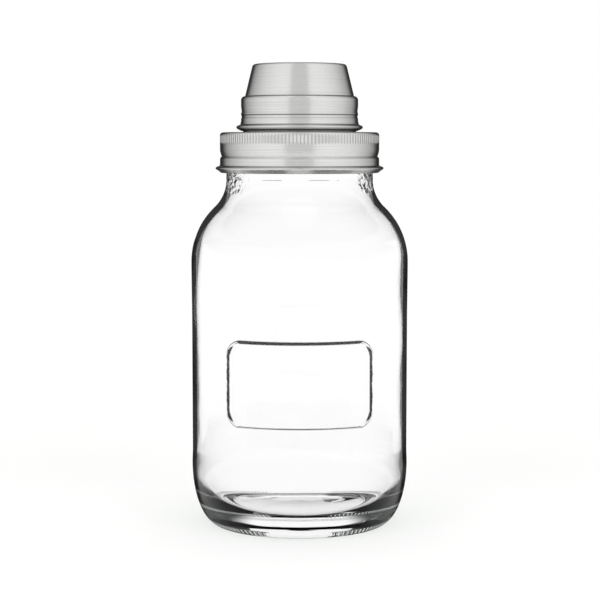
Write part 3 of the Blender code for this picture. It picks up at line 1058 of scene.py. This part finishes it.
    def refine_panel(self, bm: BMesh) -> None:
        """Divide the side's faces near the panel's outline, more finely the nearer they are.

        Args:
            bm: The turned jar.
        """
        for reach in self.panel.passes:
            near = []
            for face in bm.faces:
                middle = face.calc_center_median()
                radius = math.hypot(middle.x, middle.y)
                if middle.y > 0.0 or not self.on_side(radius, middle.z):
                    continue
                across = self.body_radius * math.atan2(middle.x, -middle.y)
                if abs(self.panel.distance(across, middle.z)[0]) < reach:
                    near.append(face)
            edges = list({edge for face in near for edge in face.edges})
            bmesh.ops.subdivide_edges(bm, edges=edges, cuts=1, use_grid_fill=True)
            bmesh.ops.triangulate(bm, faces=[face for face in bm.faces if len(face.verts) > 4])

    def shade(self, angle: float, radius: float, height: float) -> float:
        """The painted shade of the panel's line on the side."""
        return self.panel.dark(self.across(angle), height) if self.on_side(radius, height) else 0.0

    def build(self) -> list[Object]:
        """Turn the jar, raise its relief and dress it.

        Returns:
            The jar alone.
        """
        bm = turned(self.outside() + self.inside(), self.columns)
        self.refine_panel(bm)
        swell(bm, self.rise)
        self.ripple_floor(bm)
        mark(bm, self.shade)
        return [publish("moulded_jar", bm, self.finishes.glass, Body.JAR, "glass_jar", crease=60.0)]


# The lid


@dataclass
class ScrewLid:
    """The pressed lid: seat ring, top, knurled band, level bead and rolled rim, with its gasket and liner."""

    finishes: Finishes
    jar_height: float = 0.1803
    gasket_inner: float = 0.0304
    gasket_outer: float = 0.0349
    gasket_thickness: float = 0.00135
    gasket_round: float = 0.0002
    liner_root: float = 0.0352
    liner_radius: float = 0.0363
    liner_foot: float = 0.0112
    liner_chamfer: Point = (0.0007, 0.0028)
    radius: float = 0.03705
    corner: float = 0.0014
    hole_radius: float = 0.0258
    seat_fillet: float = 0.00045
    seat_height: float = 0.0009
    knurl_height: float = 0.0045
    knurl_count: int = 143
    knurl_depth: float = 0.00026
    knurl_shade: float = 0.30
    knurl_inner: float = 0.03645
    knurl_chord: float = 0.00035
    bead_drop: float = 0.0111
    bead_taper: float = 0.0031
    bead_return: float = 0.0011
    bead_depth: float = 0.00075
    bead_steps: tuple[int, int] = (12, 5)
    bead_power: Point = (1.6, 1.4)
    bead_chord: float = 0.0006
    rim_chord: float = 0.0004
    thread_height: float = 0.00105
    thread_half: Point = (0.00111, 0.0003)
    thread_chord: float = 0.0003
    thread_foot: float = 0.0012
    thread_meets: float = 0.004079
    ring_columns: int = 128
    liner_columns: int = 160
    # Bands of painted shade in the creases at the bead and the rim: height, half-width and depth of each
    creases: tuple[Triple, ...] = (
        (0.16712, 0.00036, 0.45),
        (0.16430, 0.00040, 0.10),
        (0.17080, 0.0005, 0.16),
    )
    rim: tuple[Point, ...] = (
        (0.03708, 0.16775), (0.03722, 0.16735), (0.03765, 0.16712), (0.03830, 0.16690),
        (0.03885, 0.16662), (0.03911, 0.16628), (0.03912, 0.16592), (0.03885, 0.16560),
        (0.03835, 0.16525), (0.03780, 0.16490), (0.03728, 0.16450), (0.03688, 0.16413),
        (0.03650, 0.16395), (0.03612, 0.16402), (0.03590, 0.16430), (0.03585, 0.16465),
    )

    @property
    def underside(self) -> float:
        """Height of the lid's top on its inner side."""
        return self.jar_height + self.gasket_thickness + 2 * FIT_GAP

    @property
    def top(self) -> float:
        """Height of the lid's top on its outer side."""
        return self.underside + SHEET

    def outline(self) -> list[Point]:
        """Draw the shell's outer side.

        Returns:
            Its points, from the edge of its hole to the curl of its rim.
        """
        edge = self.hole_radius + SHEET
        fillet = self.seat_fillet
        points = [(edge, self.top + self.seat_height)]
        points += arc((edge + fillet, self.top + fillet), (fillet, fillet), 180.0, 270.0, 6)
        points += corner(self.radius, self.top, self.corner, 90.0, 0.0)
        knurl_foot = self.top - self.corner - self.knurl_height
        points = points[:-1] + spaced([points[-1], (self.radius, knurl_foot)], self.knurl_chord)
        bead = self.top - self.bead_drop
        points += spaced([points[-1], (self.radius, bead + self.bead_taper)], self.bead_chord)[1:]
        inwards, outwards = self.bead_steps
        for share in (step / inwards for step in range(1, inwards + 1)):
            depth = self.bead_depth * share ** self.bead_power[0]
            points.append((self.radius - depth, bead + self.bead_taper * (1 - share)))
        for share in (step / outwards for step in range(1, outwards + 1)):
            depth = self.bead_depth * (1 - share) ** self.bead_power[1]
            points.append((self.radius - depth, bead - self.bead_return * share))
        return points + spaced([points[-1], self.rim[0]], self.rim_chord)[1:] + list(self.rim[1:])

    def ribs(self, angle: float, height: float, head: Point, foot: float, power: float) -> float:
        """Measure the knurled band's upright ribs.

        Args:
            angle: Angle about the axis.
            height: Height.
            head: Heights over the band's upper edge at which none and all of the ribs is left.
            foot: Height over its lower edge at which all of them is left.
            power: How narrow the valleys are.

        Returns:
            How deep in a valley the point is, 0 to 1.
        """
        top = self.top - self.corner
        low = top - self.knurl_height
        left = ease(height, top + head[0], top + head[1]) * ease(height, low, low + foot)
        return left * (0.5 - 0.5 * math.cos(self.knurl_count * angle)) ** power

    def shade(self, angle: float, radius: float, height: float) -> float:
        """The painted shade of the knurl's valleys and of the creases at the bead and the rim."""
        dark = self.ribs(angle, height, (0.0008, 0.0002), 0.0010, 2) if radius > self.knurl_inner else 0.0
        return max(self.knurl_shade * dark, creased(height, self.creases))

    def knurl(self, angle: float, radius: float, height: float) -> float:
        """The outward move that cuts the band's fine upright ribs."""
        depth = self.knurl_depth if radius >= self.radius - self.corner / 4 else 0.0
        return -depth * self.ribs(angle, height, (0.0006, 0.0), 0.0012, 1)

    def shell(self) -> Object:
        """Press the shell.

        Returns:
            The shell.
        """
        outline = self.outline()
        bm = walled(turned(outline, self.knurl_count * 4), outline, self.knurl)
        mark(bm, self.shade)
        return publish("lid_pressing", bm, self.finishes.brushed_steel, Body.LID, "lid_shell")

    def gasket(self) -> Object:
        """Mould the flat ring that the lid presses on the jar's rim.

        Returns:
            The gasket.
        """
        sides = (self.gasket_outer - self.gasket_round, self.gasket_inner + self.gasket_round)
        base = self.jar_height + FIT_GAP
        ends = (base + self.gasket_round, base + self.gasket_thickness - self.gasket_round)
        outline = []
        for turn, (side, end) in enumerate(((0, 0), (0, 1), (1, 1), (1, 0))):
            radii = (self.gasket_round, self.gasket_round)
            outline += arc((sides[side], ends[end]), radii, 90.0 * turn - 90.0, 90.0 * turn, 4)
        bm = turned(outline, self.ring_columns, closed=True)
        return publish("gasket_ring", bm, self.finishes.silicone, Body.GASKET, "lid_gasket")

    @property
    def thread(self) -> Thread:
        """Wind the ridge that screws on to the jar, on the liner's inner side.

        Returns:
            The ridge.
        """
        top = self.top - self.liner_foot + self.thread_foot + FIT_GAP + THREAD_PITCH
        start = math.tau * (top - (self.jar_height - self.thread_meets)) / THREAD_PITCH
        return Thread(top, 1.0, start, self.thread_height, *self.thread_half)

    def liner_rise(self, angle: float, radius: float, height: float) -> float:
        """The inward move of the liner's inner side that makes its thread."""
        return -self.thread.rise(angle, height) if radius <= self.liner_root + MERGE_DISTANCE else 0.0

    def liner(self) -> Object:
        """Mould the threaded ring inside the skirt.

        Returns:
            The liner.
        """
        top = self.underside - FIT_GAP
        foot = self.top - self.liner_foot
        inset, rise = self.liner_chamfer
        outline = spaced([(self.liner_root, top), (self.liner_root, foot)], self.thread_chord)
        outline += [(self.liner_radius - inset, foot), (self.liner_radius, foot + rise)]
        outline += corner(self.liner_radius, top, self.corner - SHEET - FIT_GAP, 0.0, 90.0)
        bm = turned(outline, self.liner_columns, closed=True)
        swell(bm, self.liner_rise)
        return publish("threaded_liner", bm, self.finishes.plastic, Body.LID, "thread_ring")

    def build(self) -> list[Object]:
        """Build the shell, the gasket and the liner."""
        return [self.shell(), self.gasket(), self.liner()]


@dataclass
class PouringTop:
    """The drawn collar in the lid and the punched strainer at its mouth."""

    finishes: Finishes
    underside: float = 0.18225
    mouth: float = 0.1965
    radius: float = 0.0255
    flange: float = 0.0043
    turn_in: float = 0.0008
    lip: float = 0.0005
    foot_fillet: float = 0.0012
    strainer_bend: float = 0.0008
    strainer_skirt: float = 0.0027
    hole_radius: float = 0.0015
    hole_pitch: float = 0.0060
    hole_rings: int = 3
    hole_sides: int = 20
    columns: int = 160

    def collar(self) -> Object:
        """Draw the collar: turned-in mouth, tube and flange.

        Returns:
            The collar.
        """
        fillet = self.foot_fillet
        flange_z = self.underside - FIT_GAP
        outline = [(self.radius - self.turn_in - self.lip, self.mouth)]
        outline += corner(self.radius, self.mouth, self.turn_in, 90.0, 0.0)
        outline += arc((self.radius + fillet, flange_z + fillet), (fillet, fillet), 180.0, 270.0, 8)
        outline += [(self.radius + self.flange, flange_z)]
        bm = walled(turned(outline, self.columns), outline)
        return publish("drawn_collar", bm, self.finishes.brushed_steel, Body.LID, "pouring_collar")

    def strainer(self) -> Object:
        """Punch the strainer: a plate with rings of holes and a turned-down skirt.

        Returns:
            The strainer.
        """
        radius = self.radius - SHEET - FIT_GAP
        top = self.mouth - SHEET - FIT_GAP
        bm = bmesh.new()
        lift = Matrix.Translation((0.0, 0.0, top))
        bmesh.ops.create_circle(bm, segments=self.columns, radius=radius - self.strainer_bend, matrix=lift)
        rim = bm.edges[:]
        for ring in range(self.hole_rings + 1):
            count = max(1, 6 * ring)
            reach = self.hole_pitch * ring
            for index in range(count):
                angle = math.tau * (index + 0.5 * (ring % 2)) / count
                place = Matrix.Translation((reach * math.cos(angle), reach * math.sin(angle), top))
                bmesh.ops.create_circle(bm, segments=self.hole_sides, radius=self.hole_radius, matrix=place)
        bmesh.ops.triangle_fill(bm, use_beauty=True, edges=bm.edges[:])
        outline = corner(radius, top, self.strainer_bend, 90.0, 0.0)
        outline += [(radius, top - self.strainer_bend - self.strainer_skirt)]
        for before, after in zip(outline, outline[1:]):
            grown = bmesh.ops.extrude_edge_only(bm, edges=rim)["geom"]
            verts = [item for item in grown if isinstance(item, BMVert)]
            links = {edge for vert in verts for edge in vert.link_edges}
            rim = [edge for edge in links if all(vert in verts for vert in edge.verts)]
            ratio = after[0] / before[0]
            bmesh.ops.scale(bm, vec=(ratio, ratio, 1.0), verts=verts)
            bmesh.ops.translate(bm, vec=(0.0, 0.0, after[1] - before[1]), verts=verts)
        bmesh.ops.recalc_face_normals(bm, faces=bm.faces)
        walled(bm, [(0.001, top), (radius / 2, top)])
        return publish("punched_strainer", bm, self.finishes.strainer_steel, Body.LID, "strainer_disc")

    def build(self) -> list[Object]:
        """Build the collar and the strainer."""
        return [self.collar(), self.strainer()]


@dataclass
class MeasuringCap:
    """The cap: a tapered cup, a step, a skirt with two level grooves and a rolled rim, and its seal."""

    finishes: Finishes
    seat: float = 0.1830
    height: float = 0.0311
    top_radius: float = 0.0217
    corner: float = 0.0015
    radius: float = 0.0272
    step: float = 0.0019
    step_turn: float = 70.0
    skirt_height: float = 0.0145
    top_chord: float = 0.004
    side_chord: float = 0.0025
    fine_chord: float = 0.0003
    seal_height: float = 0.0079
    seal_thickness: float = 0.00065
    seal_half_height: float = 0.0010
    seal_crown: Point = (0.45, 0.9)
    columns: int = 224
    seal_columns: int = 128
    # Bands of painted shade in the creases at the step, the bead, the groove and the rim: height, half-width
    # and depth of each
    creases: tuple[Triple, ...] = (
        (0.01615, 0.00034, 0.60),
        (0.00755, 0.00036, 0.95),
        (0.00620, 0.00025, 0.40),
        (0.00330, 0.00030, 0.62),
        (0.00060, 0.00070, 0.62),
    )
    skirt: tuple[Point, ...] = (
        (0.0, 0.0117), (-0.00010, 0.0108), (-0.00021, 0.0100), (-0.00026, 0.0093), (-0.00014, 0.0087),
        (0.00002, 0.0082), (0.00005, 0.0079), (-0.00012, 0.0076), (-0.00022, 0.0073), (-0.00026, 0.0068),
        (-0.00020, 0.0064), (-0.00004, 0.0061), (0.0, 0.0058), (0.00002, 0.0050), (0.00012, 0.0043),
        (0.00030, 0.0037), (0.00038, 0.00335), (0.00075, 0.00315), (0.00135, 0.00292), (0.00190, 0.00262),
        (0.00218, 0.00228), (0.00225, 0.00195), (0.00212, 0.00160), (0.00172, 0.00122), (0.00118, 0.00092),
        (0.00060, 0.00066), (0.00010, 0.00046), (-0.00030, 0.00030), (-0.00052, 0.00038), (-0.00060, 0.00065),
    )

    def shade(self, angle: float, radius: float, height: float) -> float:
        """The painted shade of the creases at the step, the bead, the groove and the rim."""
        return creased(height - self.seat, self.creases) if radius > self.top_radius else 0.0

    def outline(self) -> list[Point]:
        """Draw the cap's outer side.

        Returns:
            Its points, from the middle of its top to the curl of its rim.
        """
        step_z = self.skirt_height + self.step
        waist = self.radius - self.step
        taper = math.atan2(waist - self.top_radius, self.height - step_z)
        inset = self.corner * math.tan((math.pi / 2 - taper) / 2)
        centre = (self.top_radius - inset, self.height - self.corner)
        points = spaced([(0.0, self.height), (centre[0], self.height)], self.top_chord)
        points += arc(centre, (self.corner, self.corner), 90.0, math.degrees(taper), 9)[1:]
        points = points[:-1] + spaced([points[-1], (waist, step_z)], self.side_chord)
        points = points[:-2] + spaced(points[-2:], self.fine_chord)
        points += arc((waist, self.skirt_height), (self.step, self.step), self.step_turn, 0.0, 10)
        points += spaced([(self.radius + out, height) for out, height in self.skirt], self.fine_chord)
        return [(radius, self.seat + height) for radius, height in points]

    def cup(self) -> Object:
        """Press the cap.

        Returns:
            The cap.
        """
        outline = self.outline()
        bm = walled(turned(outline, self.columns), outline)
        mark(bm, self.shade)
        return publish("pressed_cap", bm, self.finishes.brushed_steel, Body.CAP, "measuring_cap")

    def seal(self) -> Object:
        """Mould the ring that grips the collar.

        Returns:
            The seal.
        """
        outer = self.radius - SHEET - FIT_GAP
        inner = outer - self.seal_thickness
        middle = self.seat + self.seal_height
        half = self.seal_half_height
        crown = (self.seal_thickness * self.seal_crown[0], half * self.seal_crown[1])
        outline = [(inner, middle - half), (outer - crown[0], middle - half)]
        outline += arc((outer - crown[0], middle), crown, -70.0, 70.0, 8)
        outline += [(outer - crown[0], middle + half), (inner, middle + half)]
        bm = turned(outline, self.seal_columns, closed=True)
        return publish("grip_seal", bm, self.finishes.silicone, Body.CAP, "cap_seal")

    def build(self) -> list[Object]:
        """Build the cap and its seal."""
        return [self.cup(), self.seal()]


# The studio


@dataclass
class Studio:
    """A pale table in a white surround, three soft lamps, a low card behind the shaker and the camera."""

    eye_height: float = 0.177
    distance: float = 0.80
    side_step: float = 0.00019
    tilt: float = 5.188
    lens: float = 102.66
    sensor: float = 36.0
    ambient: float = 0.50
    lamp_level: float = 5.6
    lamp_aim: Triple = (0.0, 0.0, 0.09)
    table_size: float = 12.0
    table_grain: float = 900.0
    table_glow: float = 0.19
    table_reach: Point = (0.16, 0.42)
    dark_room: float = 0.035
    under_base: Point = (0.046, 0.052)
    lit_strip: Point = (0.020, 0.032)
    dark_table: Point = (0.28, 0.20)
    seen_through: float = 0.90
    zone_spread: float = 0.75
    zone_fade: float = 0.03
    glint_zone: float = 0.075
    short_zone: float = 0.055
    short_from: float = 0.045
    ceiling: Point = (0.30, 0.18)
    level_way: Point = (0.25, 0.10)
    card_place: Colour = (0.064, 0.0125, 0.040, 0.12)
    card_grain: float = 120.0
    walls: tuple[Point, ...] = (
        (0.0, 0.72), (0.107, 0.72), (0.124, 0.94), (0.19, 1.0), (0.30, 0.99), (0.42, 0.90), (0.52, 0.80),
        (0.60, 0.66), (0.68, 0.56), (0.74, 0.44), (0.78, 0.20), (0.83, 0.06), (0.91, 0.06), (1.0, 0.45),
    )
    mirror: tuple[Point, ...] = ((0.0, 1.0), (0.79, 1.0), (0.82, 0.04), (1.0, 0.04))
    front: tuple[Point, ...] = ((0.0, 1.0), (0.74, 1.0), (0.79, 0.0), (1.0, 0.0))

    def surround(self) -> None:
        """Light the scene from all round, white to the eye.

        Brushed steel sees bright walls that fall off to a dark back, with a dimmer gap where the camera
        stands, and the glass's mirror sees them evenly white. Through glass the room is white ahead and
        past both walls, and dark where light turns back inside one wall.
        """
        world = bpy.data.worlds.new("studio_surround")
        tree = bare(world)
        parts = add_node(tree, "SeparateXYZ", (add_node(tree, "TexCoord").outputs["Generated"],)).outputs
        path = add_node(tree, "LightPath").outputs
        front = add_node(tree, "Math", (parts[1], -1.0), operation="MULTIPLY")
        angle = add_node(tree, "Math", (parts[0], front), operation="ARCTAN2")
        turn = add_node(tree, "Math", (angle,), operation="ABSOLUTE")
        share = add_node(tree, "Math", (turn, math.pi), operation="DIVIDE")
        levels = (self.walls, self.mirror, self.front)
        walls, mirror, ahead = (grade(add_node(tree, "ValToRGB", (share,)), stops) for stops in levels)
        sharp = add_node(tree, "Mix", (path["Is Singular Ray"], walls, mirror), **COLOURS)
        past = add_node(tree, "Math", (path["Transmission Depth"], BOTH_WALLS), operation="GREATER_THAN")
        unturned = add_node(tree, "Math", (path["Glossy Depth"], FIRST_TURN), operation="LESS_THAN")
        clear = add_node(tree, "Math", (past, unturned), operation="MULTIPLY")
        clear = faded(tree, clear, ((parts[2], *self.ceiling),))
        ahead = add_node(tree, "Math", (ahead, past), operation="MAXIMUM")
        ahead = faded(tree, ahead, ((parts[2], *self.level_way),))
        open_way = add_node(tree, "Math", (clear, ahead), operation="MAXIMUM")
        through = add_node(tree, "MapRange", (open_way, 0.0, 1.0, self.dark_room, 1.0))
        shade = grey(self.ambient)
        for rays, seen in (("Glossy", sharp), ("Transmission", through), ("Camera", WHITE)):
            shade = add_node(tree, "Mix", (path[f"Is {rays} Ray"], shade, seen), **COLOURS)
        add_node(tree, "OutputWorld", (add_node(tree, "Background", (shade, 1.0)),))
        bpy.context.scene.world = world

    def table_surface(self) -> Material:
        """Build the table's matt white surface.

        It is lit and shadowed near the shaker and plain white to the eye further off. Rays that the
        glass caught or turned back, and glints off the jar, see it dark.

        Returns:
            The material.
        """
        made = bpy.data.materials.new("matt_white_table")
        tree = bare(made)
        place = add_node(tree, "TexCoord").outputs["Object"]
        path = add_node(tree, "LightPath").outputs
        through = path["Is Transmission Ray"]
        reach = add_node(tree, "VectorMath", (place,), operation="LENGTH")
        parts = add_node(tree, "SeparateXYZ", (place,)).outputs
        aside = add_node(tree, "Math", (parts[0],), operation="ABSOLUTE")
        grain = add_node(tree, "TexNoise", {"Vector": place, "Scale": self.table_grain, "Detail": 3.0})
        pale = add_node(tree, "Mix", (grain, linear("#efefee"), linear("#f6f6f5")), **COLOURS)
        lit = add_node(tree, "BsdfDiffuse", (pale,))
        white = add_node(tree, "Emission", (WHITE, 1.0))
        near = add_node(tree, "AddShader", (lit, add_node(tree, "Emission", (WHITE, self.table_glow))))
        seen = add_node(tree, "Math", (through, self.seen_through), operation="MULTIPLY")
        near = add_node(tree, "MixShader", (seen, near, white))
        far = add_node(tree, "MixShader", (path["Is Camera Ray"], add_node(tree, "BsdfTransparent"), white))
        fade = add_node(tree, "MapRange", (reach, *self.table_reach, 0.0, 1.0), **SMOOTH)
        both = add_node(tree, "MixShader", (fade, near, far))
        shade = add_node(tree, "Emission", (grey(self.dark_room), 1.0))
        short = add_node(tree, "Math", (path["Transmission Depth"], BOTH_WALLS), operation="LESS_THAN")
        turned_back = add_node(tree, "Math", (path["Glossy Depth"], FIRST_TURN), operation="GREATER_THAN")
        caught = add_node(tree, "Math", (short, turned_back), operation="MAXIMUM")
        caught = add_node(tree, "Math", (caught, through), operation="MULTIPLY")
        outside = add_node(tree, "MapRange", (reach, *self.under_base, 0.0, 1.0), **SMOOTH)
        beside = add_node(tree, "MapRange", (aside, *self.lit_strip, 0.0, 1.0), **SMOOTH)
        outside = add_node(tree, "Math", (outside, beside), operation="MAXIMUM")
        caught = add_node(tree, "Math", (caught, outside), operation="MULTIPLY")
        both = add_node(tree, "MixShader", (faded(tree, caught, ((reach, *self.dark_table),)), both, shade))
        glint = add_node(tree, "Math", (path["Is Glossy Ray"], path["Is Singular Ray"]), operation="MULTIPLY")
        glint = add_node(tree, "Math", (glint, through), operation="GREATER_THAN")
        short = add_node(tree, "Math", (short, through), operation="MULTIPLY")
        zones = []
        for start in (self.glint_zone, self.short_zone):
            zone = add_node(tree, "Math", (parts[1], self.zone_spread, start), operation="MULTIPLY_ADD")
            zones.append(add_node(tree, "Math", (zone, aside), operation="SUBTRACT"))
        beyond = add_node(tree, "Math", (parts[1], self.short_from), operation="SUBTRACT")
        zones[1] = add_node(tree, "Math", (zones[1], beyond), operation="MINIMUM")
        glint = faded(tree, glint, ((zones[0], 0.0, self.zone_fade),))
        short = faded(tree, short, ((zones[1], 0.0, self.zone_fade),))
        glint = add_node(tree, "Math", (glint, short), operation="MAXIMUM")
        add_node(tree, "OutputMaterial", (add_node(tree, "MixShader", (glint, both, shade)),))
        return made

    def table(self) -> None:
        """Lay the pale table."""
        bm = bmesh.new()
        bmesh.ops.create_grid(bm, x_segments=4, y_segments=4, size=self.table_size)
        placed("table_top", bm, self.table_surface())

    def card(self) -> None:
        """Stand a small white card low behind the shaker, which only light through its base meets."""
        made = bpy.data.materials.new("white_card")
        tree = bare(made)
        place = add_node(tree, "TexCoord").outputs["Object"]
        grain = add_node(tree, "TexNoise", {"Vector": place, "Scale": self.card_grain, "Detail": 2.0})
        tone = grade(add_node(tree, "ValToRGB", (grain,)), ((0.3, 0.97), (0.7, 1.0)))
        add_node(tree, "OutputMaterial", (add_node(tree, "Emission", (tone, 1.0)),))
        wide, foot, head, away = self.card_place
        tall = head - foot
        lift = Matrix.Translation((0.0, away, foot + tall / 2)) @ Matrix.Rotation(math.radians(90.0), 4, "X")
        bm = bmesh.new()
        bmesh.ops.create_grid(bm, x_segments=2, y_segments=2, size=0.5)
        bmesh.ops.scale(bm, vec=(wide, tall, 1.0), verts=bm.verts)
        bmesh.ops.transform(bm, matrix=lift, verts=bm.verts)
        card = placed("backing_card", bm, made)
        card.visible_camera = False
        card.visible_diffuse = False
        card.visible_glossy = False
        card.visible_shadow = False

    def lamp(self, name: str, place: Triple, size: float, share: float) -> None:
        """Hang a soft lamp that looks at the shaker.

        Args:
            name: The lamp's name.
            place: Where it hangs.
            size: Side of its square face.
            share: Its share of the lamp level.
        """
        data = bpy.data.lights.new(name, "AREA")
        data.shape = "SQUARE"
        data.size = size
        data.energy = self.lamp_level * share * Vector(place).length_squared
        lamp = linked(name, data)
        lamp.location = place
        lamp.rotation_euler = (Vector(self.lamp_aim) - Vector(place)).to_track_quat("-Z", "Y").to_euler()
        lamp.visible_camera = False
        lamp.visible_glossy = False
        lamp.visible_transmission = False

    def camera(self) -> None:
        """Stand the camera at the photograph's angle."""
        data = bpy.data.cameras.new("camera")
        data.lens = self.lens
        data.sensor_width = self.sensor
        data.clip_end = 50.0
        made = linked("camera", data)
        made.location = (self.side_step, -self.distance, self.eye_height)
        made.rotation_euler = (math.radians(90.0 - self.tilt), 0.0, 0.0)
        bpy.context.scene.camera = made

    def build(self) -> None:
        """Set up the surround, table, card, lamps, camera and view."""
        self.surround()
        self.table()
        self.card()
        self.lamp("left_softbox", (-1.1, -1.2, 1.3), 1.1, 0.40)
        self.lamp("right_softbox", (1.1, -1.2, 1.3), 1.1, 0.40)
        self.lamp("top_softbox", (0.0, 0.3, 1.8), 1.4, 0.45)
        self.camera()
        bpy.context.scene.view_settings.view_transform = "Standard"


def main() -> None:
    """Build the studio and the shaker, and report each piece's faces."""
    logging.basicConfig(level=logging.INFO, format="%(name)s: %(message)s")
    finishes = Finishes.mixed()
    Studio().build()
    for assembly in (GlassJar(finishes), ScrewLid(finishes), PouringTop(finishes), MeasuringCap(finishes)):
        for piece in assembly.build():
            LOG.info("%s: %d faces", piece.name, len(piece.data.polygons))


if __name__ == "__main__":
    main()
